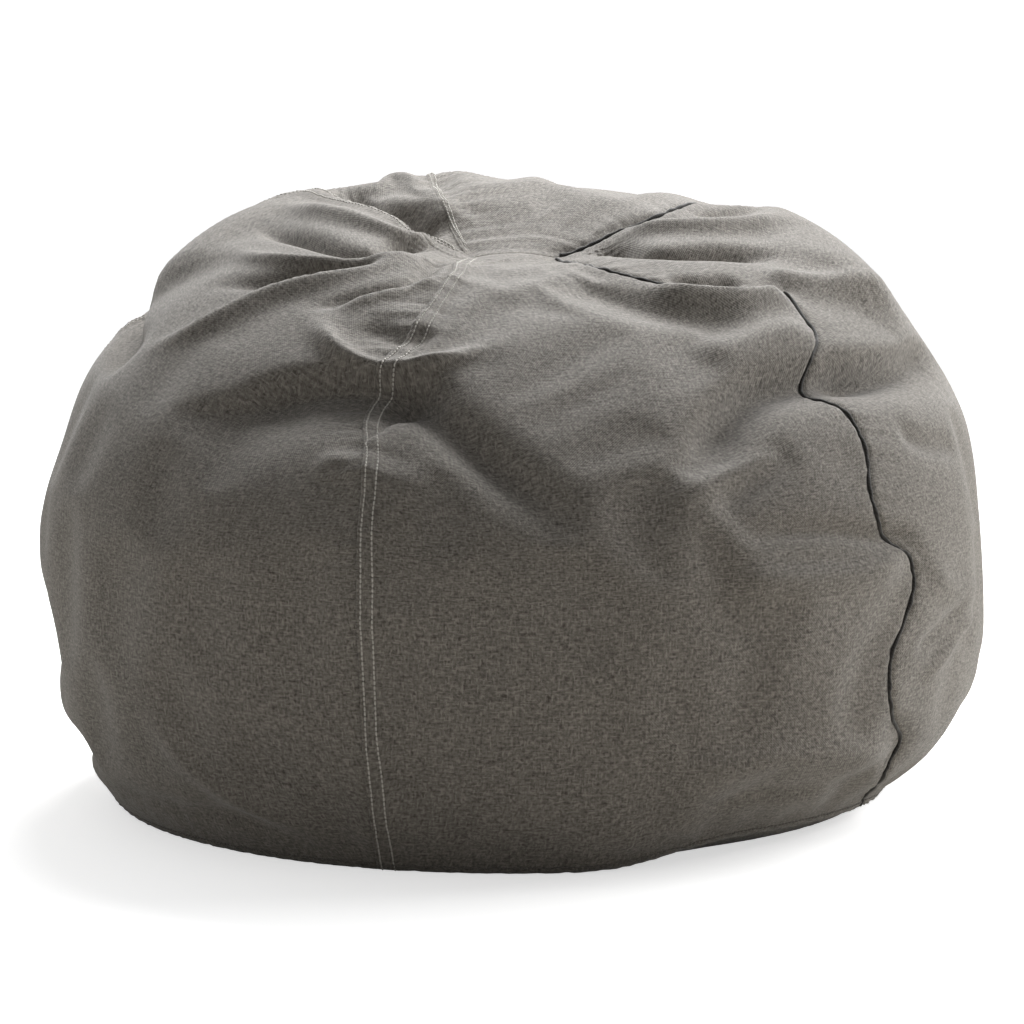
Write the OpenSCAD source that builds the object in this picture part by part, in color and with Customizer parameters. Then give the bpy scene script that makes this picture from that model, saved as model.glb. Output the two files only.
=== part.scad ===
// Bean bag chair: a gored canvas cover and a gored liner, each closed by a coil zip in its base,
// around a filling of loose beads. The origin is on the floor under the middle of the bag, +Z is
// up and -Y is the front. Azimuth 0 is the front and runs towards +X.

/* [Bag] */
// Width across the belly
belly_w = 932; // [880:2:980]
// Height of the belly above the floor
belly_z = 250; // [235:1:265]
// Height of the crown before its dimple and lean
crown_z = 582; // [560:1:640]
// Roundness of the bag above the belly, 2 is an ellipse
crown_power = 2.3; // [2:0.05:2.6]
// Depth that the underside would reach below the belly if the floor were not there
keel_depth = 375; // [350:1:400]
// Roundness of the bag below the belly
keel_power = 2.6; // [2.2:0.05:2.8]
// Depth of the dimple where the gores meet
dimple_depth = 47; // [20:1:90]
// Radius of the dimple
dimple_r = 130; // [100:1:180]
// Rise of the crown from the middle to the back, as if it reached the belly's width
crown_lean = 120; // [0:1:130]

/* [Gores] */
// Number of gores in the cover and in the liner
gores = 5; // [5]
// Azimuth of the first seam
first_seam = -19; // [-36:1:0]
// Thickness of the cover's canvas, seam layers included
cover_t = 2; // [1.5:0.1:2.5]
// Thickness of the liner's cloth
liner_t = 1.2; // [1:0.1:1.5]
// Inset of the liner from the outside of the cover
liner_inset = 6; // [5:0.5:8]
// Inset of the bead filling from the outside of the cover
fill_inset = 13; // [12:0.5:16]

/* [Seams] */
// Thickness of the dark piping
piping_t = 3; // [2:0.5:4]
// Distance between the two rows of stitches of a felled seam
stitch_gauge = 11; // [6:0.5:14]
// Distance from the fold of a felled seam to its first row of stitches
stitch_edge = 4; // [3:0.5:6]
// Thickness of the stitching thread
thread_t = 0.8; // [0.6:0.1:1.2]

/* [Zips] */
// Length of the cover's zip between its stops
cover_zip_l = 490; // [400:5:520]
// Length of the liner's zip between its stops
liner_zip_l = 390; // [300:5:420]
// Width of the coil of one tape
coil_w = 2.6; // [2.4:0.1:3]
// Height of the coil
coil_h = 2.1; // [1.8:0.1:2.2]
// Half of the gap between the two coils
coil_gap = 0.8; // [0.7:0.05:0.9]
// Width of one tape
tape_w = 19; // [16:0.5:22]
// Thickness of one tape
tape_t = 0.6; // [0.5:0.1:0.8]
// Length of a slider
slider_l = 11; // [10:0.5:12]

/* [Care label] */
// Width of the label
label_w = 52; // [40:1:70]
// Azimuth of the label
label_az = 161; // [150:1:172]
// Thickness of the label, folded double
label_t = 1; // [0.6:0.1:1.2]

/* [Hidden] */
gore_names = ["front", "right", "rear", "rear_left", "front_left"];

gore_angle = 360 / gores;
cover_cols = 10;          // facets across a cover gore
cover_rows = 20;          // facets up a cover gore
liner_cols = 6;
liner_rows = 14;          // the filling has the same facets as the liner
skin_gap = 0.4;           // clearance of trim that lies on the cover
label_gap = 1;            // clearance of the label, which spans several facets of the cover
label_rows = [0.025, 0.065, 0.105]; // shares of the way up the cover
tip_r = 16;               // trim stops this far from the crown's middle
liner_z = 12;             // underside of the liner
fill_z = liner_z + liner_t + 0.5;
hem_t = 4;                // folded hem beside a zip, above the base panel
hem_w = 15;
panel_gap = 0.3;          // clearance round the edge of a base panel
half_gap = 0.2;           // half of the clearance between the halves of a base
slot_half = 9;            // half of the opening beside a zip
slot_end = 6;             // the opening runs this far past each stop
tape_z = cover_t + hem_t; // underside of a tape above its own base panel
plate_t = 1.05;           // plates of a slider
flange_w = 1.1;           // side walls of a slider
slider_gap = 0.45;        // clearance round the coils
slider_half = coil_gap + coil_w + slider_gap + flange_w;
slider_z0 = tape_z - coil_h - slider_gap - plate_t;
slider_z1 = tape_z + tape_t + slider_gap + plate_t;
stop_l = 3.5;
stop_gap = 0.2;           // clearance between a stop and the end of its coil
park_gap = 2;             // a slider stands this far from its stop
canvas = [0.42, 0.4, 0.37];
liner_white = [0.86, 0.85, 0.82];
dark_trim = [0.12, 0.11, 0.1];
thread_colour = [0.62, 0.6, 0.57];
nickel = [0.55, 0.55, 0.56];

// ---- shape of the bag -------------------------------------------------------------------------

// Angle at which the lower curve meets height z, with its surface inset from the outside
function keel_angle(z, inset) = -asin(pow((belly_z - z) / (keel_depth - inset), keel_power / 2));

// Radius of the bag at height z below the belly
function keel_r(z, inset) =
    (belly_w / 2 - inset) * pow(1 - pow((belly_z - z) / (keel_depth - inset), keel_power), 1 / keel_power);

// Radius and height at share q of the way from the bottom edge, at height z0, to the crown
function skin_rz(az, q, inset, z0) =
    let (a0 = keel_angle(z0, inset), a = a0 + (90 - a0) * q)
    a < 0
    ? [(belly_w / 2 - inset) * pow(cos(a), 2 / keel_power),
       belly_z - (keel_depth - inset) * pow(sin(-a), 2 / keel_power)]
    : let (
        r = (belly_w / 2 - inset) * pow(cos(a), 2 / crown_power),
        rise = (crown_z - inset - belly_z) * pow(sin(a), 2 / crown_power),
        lean = -crown_lean * cos(az) * r / (belly_w / 2) * rise / (crown_z - belly_z),
        dip = dimple_depth * exp(-pow(r / dimple_r, 2))
      )
      [r, belly_z + rise + lean - dip];

function spoke(az, rz) = [rz[0] * sin(az), -rz[0] * cos(az), rz[1]];
function skin(az, q, inset, z0) = spoke(az, skin_rz(az, q, inset, z0));
function seam_az(i) = first_seam + gore_angle * i;

// Faces of a block of points: rows of cols + 1 outside points, then the same rows inside
function sheet_faces(cols, rows) =
    let (n = cols + 1, inner = n * (rows + 1))
    concat(
        [for (j = [0:rows - 1], i = [0:cols - 1]) let (a = j * n + i)
            each [[a, a + n, a + n + 1], [a, a + n + 1, a + 1]]],
        [for (j = [0:rows - 1], i = [0:cols - 1]) let (a = inner + j * n + i)
            each [[a, a + n + 1, a + n], [a, a + 1, a + n + 1]]],
        [for (j = [0:rows - 1]) let (a = j * n)
            each [[a, inner + a, inner + a + n], [a, inner + a + n, a + n]]],
        [for (j = [0:rows - 1]) let (a = j * n + cols)
            each [[a, a + n, inner + a + n], [a, inner + a + n, inner + a]]],
        [for (i = [0:cols - 1]) each [[i, i + 1, inner + i + 1], [i, inner + i + 1, inner + i]]],
        [for (i = [0:cols - 1]) let (a = rows * n + i)
            each [[a, inner + a, inner + a + 1], [a, inner + a + 1, a + 1]]]
    );

// A gore of the cover or of the liner. All its tip points lie on the axis.
module gore_shell(i, inset, thick, z0, cols, rows) {
    points = [
        for (d = [0, thick], j = [0:rows], k = [0:cols])
            skin(seam_az(i) + gore_angle * k / cols, j / rows, inset + d, z0)
    ];
    polyhedron(points, sheet_faces(cols, rows), convexity = 4);
}

// Outline of a base panel that fits inside the bottom edge of the gores
function base_outline(inset, z, cols) =
    [for (k = [0:gores * cols - 1]) let (az = first_seam + gore_angle * k / cols, r = keel_r(z, inset))
        [r * sin(az), -r * cos(az)]];

// ---- base panels ------------------------------------------------------------------------------

// One half of a base: side -1 is the front and 1 is the rear
module base_half(side, inset, thick, z0, cols, zip_l, hem) {
    slot_l = zip_l + 2 * slot_end;
    translate([0, 0, z0])
        linear_extrude(thick)
            difference() {
                intersection() {
                    polygon(base_outline(inset, z0, cols));
                    translate([-belly_w / 2, side > 0 ? half_gap : -belly_w / 2])
                        square([belly_w, belly_w / 2 - half_gap]);
                }
                square([slot_l, 2 * slot_half], center = true);
            }
    translate([-slot_l / 2, side > 0 ? slot_half : -slot_half - hem_w, z0 + thick])
        cube([slot_l, hem_w, hem]);
}

// ---- trim -------------------------------------------------------------------------------------

tip_rows = [for (j = [1:cover_rows]) if (skin_rz(0, j / cover_rows, 0, 0)[0] > tip_r) j];

// Dark piping over the seam at azimuth az, as a band in the seam's own plane
module piping(az) {
    outer = [for (j = tip_rows) skin_rz(az, j / cover_rows, -skin_gap - piping_t, 0)];
    inner = [for (j = tip_rows) skin_rz(az, j / cover_rows, -skin_gap, 0)];
    color(dark_trim)
        rotate([0, 0, az - 90])
            rotate([90, 0, 0])
                linear_extrude(piping_t, center = true)
                    polygon(concat(outer, [for (j = [len(inner) - 1:-1:0]) inner[j]]));
}

// One row of stitches, beside a seam on its +azimuth side
module stitch_row(az, beside) {
    rows = [for (j = tip_rows) if (skin_rz(0, j / cover_rows, 0, 0)[0] > 2 * tip_r) j];
    points = [
        for (lift = [skin_gap + thread_t, skin_gap], j = rows, w = [-0.5, 0.5])
            let (
                q = j / cover_rows,
                at = beside + w * thread_t,
                turn = atan(at / skin_rz(az, q, 0, 0)[0])
            )
            skin(az + turn, q, -lift, 0)
    ];
    polyhedron(points, sheet_faces(1, len(rows) - 1), convexity = 4);
}

module topstitch(az) {
    color(thread_colour) {
        stitch_row(az, stitch_edge);
        stitch_row(az, stitch_edge + stitch_gauge);
    }
}

// Ring of thread where the gores are sewn to the base
module base_seam_stitch() {
    z = 5;
    inner = base_outline(-skin_gap, z + thread_t, cover_cols);
    outer = base_outline(-skin_gap - thread_t, z + thread_t, cover_cols);
    color(thread_colour)
        translate([0, 0, z])
            linear_extrude(thread_t)
                difference() {
                    polygon(outer);
                    polygon(inner);
                }
}

// Blank label, sewn into the base seam and lying against the rear gore
module care_label() {
    half_turn = label_w / belly_w * 360 / PI / 2;
    cols = 4;
    points = [
        for (lift = [label_gap + label_t, label_gap], q = label_rows, k = [0:cols])
            skin(label_az + half_turn * (2 * k / cols - 1), q, -lift, 0)
    ];
    color(liner_white)
        polyhedron(points, sheet_faces(cols, len(label_rows) - 1), convexity = 4);
}

// ---- zips -------------------------------------------------------------------------------------
// Each zip is drawn along X with the underside of its base panel at z = 0.

module zip_tape(side, zip_l) {
    w = coil_gap + tape_w;
    color(canvas)
        translate([-zip_l / 2 - slot_end, side > 0 ? coil_gap : -w, tape_z])
            cube([zip_l + 2 * slot_end, tape_w, tape_t]);
}

module zip_coil(side, zip_l) {
    color(dark_trim)
        translate([-zip_l / 2, side * (coil_gap + coil_w / 2), tape_z - coil_h / 2])
            rotate([0, 90, 0])
                linear_extrude(zip_l)
                    intersection() {
                        square([coil_h, coil_w], center = true);
                        circle(d = coil_w * 1.1, $fn = 32);
                    }
}

// A bottom stop across both coils, and a top stop on each
module zip_stops(zip_l) {
    h = coil_h + 0.2;
    color(nickel) {
        translate([-zip_l / 2 - stop_l - stop_gap, -coil_gap - coil_w, tape_z - h])
            cube([stop_l, 2 * (coil_gap + coil_w), h]);
        for (side = [0, 1])
            mirror([0, side, 0])
                translate([zip_l / 2 + stop_gap, coil_gap, tape_z - h])
                    cube([stop_l, coil_w, h]);
    }
}

// Slider with a plate on each side, flanges round the coils and a post between them
module zip_slider(zip_l) {
    x = zip_l / 2 - park_gap - slider_l / 2;
    inner_half = slider_half - flange_w;
    cavity_z = slider_z1 - slider_z0 - 2 * plate_t;
    post_l = 2;
    color(nickel)
        translate([x, 0, (slider_z0 + slider_z1) / 2])
            difference() {
                linear_extrude(slider_z1 - slider_z0, center = true)
                    slider_outline();
                for (side = [-1, 1])
                    translate([0, side * (coil_gap - 0.3 + inner_half) / 2, 0])
                        cube([slider_l + 1, inner_half - coil_gap + 0.3, cavity_z], center = true);
                translate([-post_l - 0.5, 0, 0])
                    cube([slider_l + 1, 2 * coil_gap, cavity_z], center = true);
                for (side = [-1, 1])
                    translate([0, side * slider_half, tape_z + tape_t / 2 - (slider_z0 + slider_z1) / 2])
                        cube([slider_l + 1, 2 * flange_w + 0.2, tape_t + 2 * slider_gap], center = true);
            }
}

// Plan of a slider: wide at its mouth and narrower where the closed chain leaves it
module slider_outline() {
    tail_half = slider_half - 0.4;
    polygon([
        [-slider_l / 2, -tail_half], [slider_l / 2 - 4, -slider_half], [slider_l / 2 - 1, -slider_half],
        [slider_l / 2, -slider_half + 1], [slider_l / 2, slider_half - 1],
        [slider_l / 2 - 1, slider_half], [slider_l / 2 - 4, slider_half], [-slider_l / 2, tail_half]
    ]);
}

// Low bridge on the outside of a slider. A child-safe slider has no pull tab on it.
module zip_slider_crown(zip_l) {
    x = zip_l / 2 - park_gap - slider_l / 2;
    span = 7;
    rise = 1.7;
    bridge_t = 0.7;
    color(nickel)
        translate([x, 0, slider_z0])
            difference() {
                translate([-span / 2, -1.2, -rise])
                    cube([span, 2.4, rise]);
                translate([-span / 2 + bridge_t, -2, -rise + bridge_t])
                    cube([span - 2 * bridge_t, 4, rise]);
            }
}

// ---- filling ----------------------------------------------------------------------------------

// The whole mass of beads, with a channel that clears the liner's zip
module bead_fill() {
    cols = gores * liner_cols;
    rows = liner_rows;
    channel_gap = 2.5;
    channel = [
        liner_zip_l + 2 * (slot_end + channel_gap),
        2 * (slot_half + hem_w + channel_gap),
        tape_z + tape_t + channel_gap
    ];
    ring = [
        for (j = [0:rows - 1], k = [0:cols - 1])
            skin(first_seam + 360 * k / cols, j / rows, fill_inset, fill_z)
    ];
    top = len(ring);
    points = concat(ring, [skin(0, 1, fill_inset, fill_z), [0, 0, fill_z]]);
    faces = concat(
        [for (j = [0:rows - 2], k = [0:cols - 1])
            let (a = j * cols + k, b = j * cols + (k + 1) % cols)
            each [[a, a + cols, b + cols], [a, b + cols, b]]],
        [for (k = [0:cols - 1]) [(rows - 1) * cols + k, top, (rows - 1) * cols + (k + 1) % cols]],
        [for (k = [0:cols - 1]) [k, (k + 1) % cols, top + 1]]
    );
    color("white")
        difference() {
            polyhedron(points, faces, convexity = 4);
            translate([0, 0, fill_z])
                cube([channel[0], channel[1], 2 * channel[2]], center = true);
        }
}

// ---- nodes ------------------------------------------------------------------------------------

for (i = [0:gores - 1])
    color(canvas) gore_shell(i, 0, cover_t, 0, cover_cols, cover_rows);

for (i = [0:gores - 1])
    color(liner_white) gore_shell(i, liner_inset, liner_t, liner_z, liner_cols, liner_rows);

module cover_base(side)
    color(canvas) base_half(side, cover_t + panel_gap, cover_t, 0, cover_cols, cover_zip_l, hem_t);
module liner_base(side)
    color(liner_white)
        base_half(side, liner_inset + liner_t + panel_gap, liner_t, liner_z, liner_cols,
                  liner_zip_l, tape_z - liner_t);

cover_base(-1);  // cover_base_front
cover_base(1);  // cover_base_rear
piping(seam_az(1));  // piping_front_right
piping(seam_az(2));  // piping_rear_right
topstitch(seam_az(0));  // topstitch_front_left
topstitch(seam_az(3));  // topstitch_rear
topstitch(seam_az(4));  // topstitch_left
base_seam_stitch();
care_label();
zip_tape(-1, cover_zip_l);  // cover_zip_tape_front
zip_tape(1, cover_zip_l);  // cover_zip_tape_rear
zip_coil(-1, cover_zip_l);  // cover_zip_coil_front
zip_coil(1, cover_zip_l);  // cover_zip_coil_rear
zip_stops(cover_zip_l);  // cover_zip_stops
zip_slider(cover_zip_l);  // cover_zip_slider
zip_slider_crown(cover_zip_l);  // cover_zip_slider_crown
liner_base(-1);  // liner_base_front
liner_base(1);  // liner_base_rear
translate([0, 0, liner_z]) zip_tape(-1, liner_zip_l);  // liner_zip_tape_front
translate([0, 0, liner_z]) zip_tape(1, liner_zip_l);  // liner_zip_tape_rear
translate([0, 0, liner_z]) zip_coil(-1, liner_zip_l);  // liner_zip_coil_front
translate([0, 0, liner_z]) zip_coil(1, liner_zip_l);  // liner_zip_coil_rear
translate([0, 0, liner_z]) zip_stops(liner_zip_l);  // liner_zip_stops
translate([0, 0, liner_z]) zip_slider(liner_zip_l);  // liner_zip_slider
translate([0, 0, liner_z]) zip_slider_crown(liner_zip_l);  // liner_zip_slider_crown
bead_fill();
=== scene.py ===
"""Looks of the bean bag chair: canvas cover with felled and piped seams, zips, label, liner, beads.

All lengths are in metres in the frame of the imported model: the floor is z = 0, +Z is up, -Y is the
front. An azimuth is in degrees from the front towards +X. A share t runs along the cloth, from 0 at
the floor to 1 where the gores meet in the crown.
"""

import math

import bpy
import numpy as np
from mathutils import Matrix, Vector


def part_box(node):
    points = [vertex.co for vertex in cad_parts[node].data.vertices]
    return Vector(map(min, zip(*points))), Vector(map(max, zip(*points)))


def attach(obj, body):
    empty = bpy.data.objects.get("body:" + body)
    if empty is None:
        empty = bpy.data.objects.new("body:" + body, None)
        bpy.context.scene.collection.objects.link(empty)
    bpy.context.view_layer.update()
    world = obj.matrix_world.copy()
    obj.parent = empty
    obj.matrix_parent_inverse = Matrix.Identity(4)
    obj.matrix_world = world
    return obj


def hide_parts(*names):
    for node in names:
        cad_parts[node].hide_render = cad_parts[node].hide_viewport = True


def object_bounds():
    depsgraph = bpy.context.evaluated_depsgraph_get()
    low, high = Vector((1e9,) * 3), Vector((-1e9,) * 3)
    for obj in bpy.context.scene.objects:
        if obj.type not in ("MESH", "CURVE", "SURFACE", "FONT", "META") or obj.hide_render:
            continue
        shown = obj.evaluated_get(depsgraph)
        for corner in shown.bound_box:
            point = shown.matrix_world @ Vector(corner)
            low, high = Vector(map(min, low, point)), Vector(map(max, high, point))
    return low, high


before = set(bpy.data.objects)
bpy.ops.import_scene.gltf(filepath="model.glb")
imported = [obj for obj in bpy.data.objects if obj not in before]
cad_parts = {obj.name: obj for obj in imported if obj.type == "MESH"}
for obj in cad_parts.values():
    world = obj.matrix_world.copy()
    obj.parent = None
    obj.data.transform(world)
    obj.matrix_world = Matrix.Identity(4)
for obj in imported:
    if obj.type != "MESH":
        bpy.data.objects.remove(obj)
cad_low, cad_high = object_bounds()

# ---- sizes of the bag ----

BELLY_R = (cad_high.x - cad_low.x) / 2
BELLY_Z = 0.25         # height of the widest part
CROWN_Z = 0.582
CROWN_POWER = 2.3
KEEL_DEPTH = 0.375
KEEL_POWER = 2.6
CROWN_LEAN = 0.12
DIMPLE_DEPTH = 0.047
DIMPLE_R = 0.13
PINCH_X = 0.037        # the seams of each side meet this far from the middle of the crown
PINCH_R = 0.11         # the pull of the two pinches fades over this radius
PINCH_DIP = 0.004

GORES = ["front", "right", "rear", "rear_left", "front_left"]
GORE_ANGLE = 72
FIRST_SEAM = -19
COVER_T = 0.0012
LINER_INSET = 0.008
LINER_T = 0.0008
FILL_INSET = 0.0115
PIPING_R = 0.0018
THREAD_R = 0.0008
STITCH_PITCH = 0.0046
STITCH_ROWS = [0.004, 0.015]   # distances of the two rows from the fold of a felled seam
FELL_W = 0.0175        # width of the layers inside a felled seam
FELL_T = 0.0016        # how far they lift the cloth
TIP_SHARE = 0.9997     # the cloth of each gore stops here, a hair from the crown's middle

ROWS = 230             # steps of the final mesh up a gore
EDGE_STEPS = [0, 0.0012, 0.0028, 0.0045, 0.0065, 0.0085, 0.0105, 0.0125, 0.0145, 0.016, 0.0175, 0.0205,
              0.025]
MID_STEPS = 76         # steps across a gore between its two edge bands
PATTERN_SHIFT = 0.7    # each gore's weave starts this far along the pattern from the last one's
TUCK_W = 0.006         # each gore goes this far on past its right seam, under or inside its neighbour
PUCKER_REACH = 0.03    # the puckers beside a seam fade over this distance
PIPED_SINK = 0.0026    # how far a piped seam pulls the cloth in
PIPED_TUCK = 0.7       # slope of the cloth that turns in behind the piping
FELLED_TUCK = 0.06     # slope of the cloth that goes on under a felled seam
SEAM_SEED = 40         # random seeds of the puckers beside the seams and above the base
BASE_SEED = 60
PIPING_END = 0.995     # the piping and the topstitching end at these shares of the way to the crown
TOPSTITCH_END = 0.975

HEM_W = 0.015          # folded hems beside the zips' slots
HEM_STEPS = [0, 0.0005, 0.0012, 0.0022, 0.0045, 0.008, 0.012, 0.0145, 0.0155, 0.0175]
HEM_ROUND = 0.0018     # radius of the fold at a hem's edge
BASE_COLUMNS = 180     # steps along a base panel, and from its hem to the bottom ring
BASE_ROWS = 40
BASE_INSET = 0.997     # the base panels end just inside the gores
SLOT_HALF = 0.009      # half of a slot's width
TAPE_END = 0.008       # the tapes go on this far behind the ends of the slot
COIL_WIRE_R = 0.00034
COIL_PITCH = 0.0014
LABEL_HALF = 0.024     # half of the label's width
FILL_CLEARANCE = 0.0015   # between the filling and the liner's slider
CHANNEL_W = 0.026      # reach of the filling's channel over the liner's zip, across it and along it
CHANNEL_L = 0.215

CLOTH_ROWS = 110       # steps of the simulated cloth up the bag
CLOTH_COLS = 46        # and across each gore
CLOTH_FRAMES = 16
SPARE_CLOTH = 0.026    # share by which the simulated cloth is longer than its rest shape
BROAD_PASSES = 45      # the simulated moves that stay after so many passes of averaging are dropped
WRINKLES = 0.7         # share of the simulated wrinkles that is kept
HOLD = 0.15            # how firmly the simulated cloth is held to its rest shape

# Each seam's route: (share, azimuth) from the floor to the crown
SEAM_ROUTES = [
    [(0, -18), (0.09, -17), (0.3, -17), (0.4, -17.5), (0.47, -18), (0.52, -19.5), (0.56, -21.5),
     (0.6, -22.5), (0.65, -21.5), (0.7, -20.5), (0.77, -20), (0.83, -20.5), (0.9, -25), (1, -30)],
    [(0, 62), (0.04, 58), (0.07, 55), (0.09, 54), (0.12, 54), (0.15, 50), (0.18, 48), (0.22, 48),
     (0.25, 50), (0.29, 52), (0.325, 51), (0.35, 48), (0.38, 46), (0.42, 46), (0.46, 48), (0.5, 49),
     (0.525, 49), (0.55, 48), (0.575, 49), (0.595, 52), (0.615, 57), (0.645, 60), (0.675, 63),
     (0.7, 60), (0.72, 50), (0.745, 43), (0.78, 37), (0.83, 31), (0.9, 30), (1, 30)],
    [(0, 125), (0.2, 126), (0.35, 124), (0.5, 126), (0.62, 127), (0.7, 125), (0.76, 121), (0.82, 112),
     (0.86, 108), (0.95, 110), (1, 110)],
    [(0, 197), (0.25, 196), (0.5, 198), (0.68, 199), (0.76, 202), (0.86, 209), (0.95, 208), (1, 208)],
    [(0, 269), (0.25, 269), (0.4, 266), (0.5, 258), (0.55, 251), (0.6, 242), (0.65, 233), (0.7, 228),
     (0.75, 232), (0.8, 235), (0.85, 236), (0.9, 237), (1, 238)],
]
FELLED = {0: "front_left", 3: "rear", 4: "left"}
PIPED = {1: "front_right", 2: "rear_right"}

# Broad swells and hollows of the filling: route as (azimuth, share) points, height, and reach on the
# left and the right of the route. A height below 0 is a hollow.
SWELLS = [
    ([(8, 0), (30, 0.005), (60, 0.01), (105, 0.02)], -0.027, 0.06, 0.06, 0.4),
    ([(66, 0.06), (90, 0.05), (115, 0.05)], -0.014, 0.05, 0.05),
    ([(66, 0.32), (90, 0.33), (115, 0.33)], -0.010, 0.07, 0.07),
    ([(76, 0.6), (105, 0.65), (125, 0.66)], 0.024, 0.06, 0.06),
    ([(135, 0.74), (155, 0.76), (175, 0.76)], -0.008, 0.06, 0.06),
    ([(-165, 0.8), (-145, 0.78), (-125, 0.75)], -0.007, 0.04, 0.04),
    ([(180, 0.76), (210, 0.74), (235, 0.7), (270, 0.62)], 0.010, 0.05, 0.06),
    ([(-145, 0.66), (-122, 0.645), (-104, 0.625), (-90, 0.6)], 0.016, 0.05, 0.05),
    ([(-118, 0.075), (-90, 0.075), (-64, 0.085)], -0.026, 0.02, 0.018),
    ([(-115, 0.19), (-90, 0.19), (-65, 0.2)], -0.015, 0.045, 0.04),
    ([(-115, 0.41), (-90, 0.41), (-70, 0.41)], -0.008, 0.05, 0.05),
]

# Folds of the cloth, in the same form. Numbers after the reaches, here and above, are the shares of
# the route over which its start and its end fade.
FOLDS = [
    # left of the crown, from the rear round to the front
    ([(-150, 0.93), (-147, 0.87), (-150, 0.76), (-150, 0.67)], 0.006, 0.014, 0.012),
    ([(-125, 0.95), (-127, 0.88), (-128, 0.8), (-137, 0.7)], -0.020, 0.016, 0.018),
    ([(-110, 0.95), (-88, 0.9), (-104, 0.8), (-120, 0.7)], 0.010, 0.014, 0.018),
    ([(-90, 0.95), (-60, 0.87), (-58, 0.82), (-84, 0.77), (-108, 0.7)], -0.018, 0.009, 0.018, 0.2),
    ([(-60, 0.9), (-46, 0.85), (-54, 0.79), (-70, 0.74), (-96, 0.68)], 0.009, 0.009, 0.010, 0.45),
    ([(-46, 0.82), (-54, 0.76), (-63, 0.715), (-80, 0.65)], -0.019, 0.010, 0.016, 0.25, 0.5),
    ([(-46, 0.91), (-41, 0.86), (-50, 0.76), (-58, 0.69), (-62, 0.62), (-70, 0.55)],
     0.010, 0.016, 0.008, 0.5),
    ([(-38, 0.92), (-28, 0.8), (-34, 0.752), (-46, 0.69)], -0.010, 0.009, 0.012),
    ([(-22, 0.81), (-30, 0.762), (-39, 0.7)], 0.008, 0.010, 0.009),
    ([(-42, 0.69), (-34, 0.654), (-26, 0.628), (-19, 0.626), (-12, 0.64), (-4, 0.67)],
     0.013, 0.012, 0.008),
    ([(-31, 0.69), (-22, 0.682), (-14, 0.68)], -0.008, 0.014, 0.014),
    ([(-54, 0.49), (-42, 0.54), (-36, 0.58), (-29, 0.605), (-21, 0.614), (-14, 0.61), (-8, 0.58)],
     -0.025, 0.013, 0.065, 0.35, 0.25),
    ([(-20, 0.6), (-14, 0.59), (-8, 0.55), (-3, 0.505), (3, 0.45), (9, 0.4)],
     -0.017, 0.018, 0.024, 0.2, 0.45),
    ([(-120, 0.575), (-105, 0.56), (-92, 0.55), (-80, 0.545), (-70, 0.54)], -0.024, 0.022, 0.022),
    ([(-26, 0.49), (-18, 0.48), (-8, 0.45)], 0.006, 0.014, 0.02),
    # right of the crown
    ([(85, 0.96), (60, 0.87), (61, 0.82), (72, 0.77), (86, 0.7)], -0.018, 0.016, 0.014, 0.15),
    ([(98, 0.92), (90, 0.83), (96, 0.76), (112, 0.67)], 0.010, 0.014, 0.016),
    ([(104, 0.8), (110, 0.74), (118, 0.68)], -0.006, 0.010, 0.010),
    ([(34, 0.77), (42, 0.73), (50, 0.705), (58, 0.69), (66, 0.68)], 0.012, 0.008, 0.02),
    ([(42, 0.765), (50, 0.738), (60, 0.72)], -0.010, 0.012, 0.008),
    ([(14, 0.82), (25, 0.755), (37, 0.7), (50, 0.665)], -0.008, 0.02, 0.03),
    ([(66, 0.72), (76, 0.66), (92, 0.58)], 0.009, 0.016, 0.02),
    ([(20, 0.46), (27, 0.53), (36, 0.575), (47, 0.58), (62, 0.555), (90, 0.49)], -0.024, 0.016, 0.03),
    ([(22, 0.42), (30, 0.46), (38, 0.49)], -0.007, 0.014, 0.014),
    ([(30, 0.625), (44, 0.64), (60, 0.625)], 0.007, 0.02, 0.02),
    ([(50, 0.58), (62, 0.562), (78, 0.535), (92, 0.505)], -0.014, 0.012, 0.022),
    ([(16, 0.42), (22, 0.455), (30, 0.475), (40, 0.48)], 0.006, 0.012, 0.016),
    ([(24, 0.385), (36, 0.378), (46, 0.355), (54, 0.345)], -0.008, 0.012, 0.010),
    ([(22, 0.33), (30, 0.32), (42, 0.315), (52, 0.325)], 0.009, 0.010, 0.018),
    ([(52, 0.215), (58, 0.235), (66, 0.255)], -0.006, 0.008, 0.008),
    ([(54, 0.185), (62, 0.215), (71, 0.24)], 0.006, 0.008, 0.008),
    ([(56, 0.48), (62, 0.45), (72, 0.43)], -0.006, 0.012, 0.012),
    ([(54, 0.3), (62, 0.27), (74, 0.26)], 0.005, 0.012, 0.012),
    ([(54, 0.2), (62, 0.22), (72, 0.21)], -0.005, 0.012, 0.012),
    # near the floor
    ([(20, 0.075), (38, 0.085), (54, 0.07)], -0.006, 0.014, 0.014),
    ([(14, 0.12), (29, 0.13), (42, 0.125), (54, 0.1)], 0.008, 0.014, 0.02),
    ([(-80, 0.05), (-50, 0.05), (-32, 0.05), (-20, 0.01)], -0.007, 0.014, 0.014),
    ([(-48, 0.16), (-39, 0.1), (-29, 0.05), (-20, 0.01)], 0.005, 0.014, 0.014),
]


# ---- curves and shares ----

def ease(x):
    """0 below 0, 1 above 1, smooth between."""
    x = np.clip(x, 0, 1)
    return x * x * (3 - 2 * x)


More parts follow.
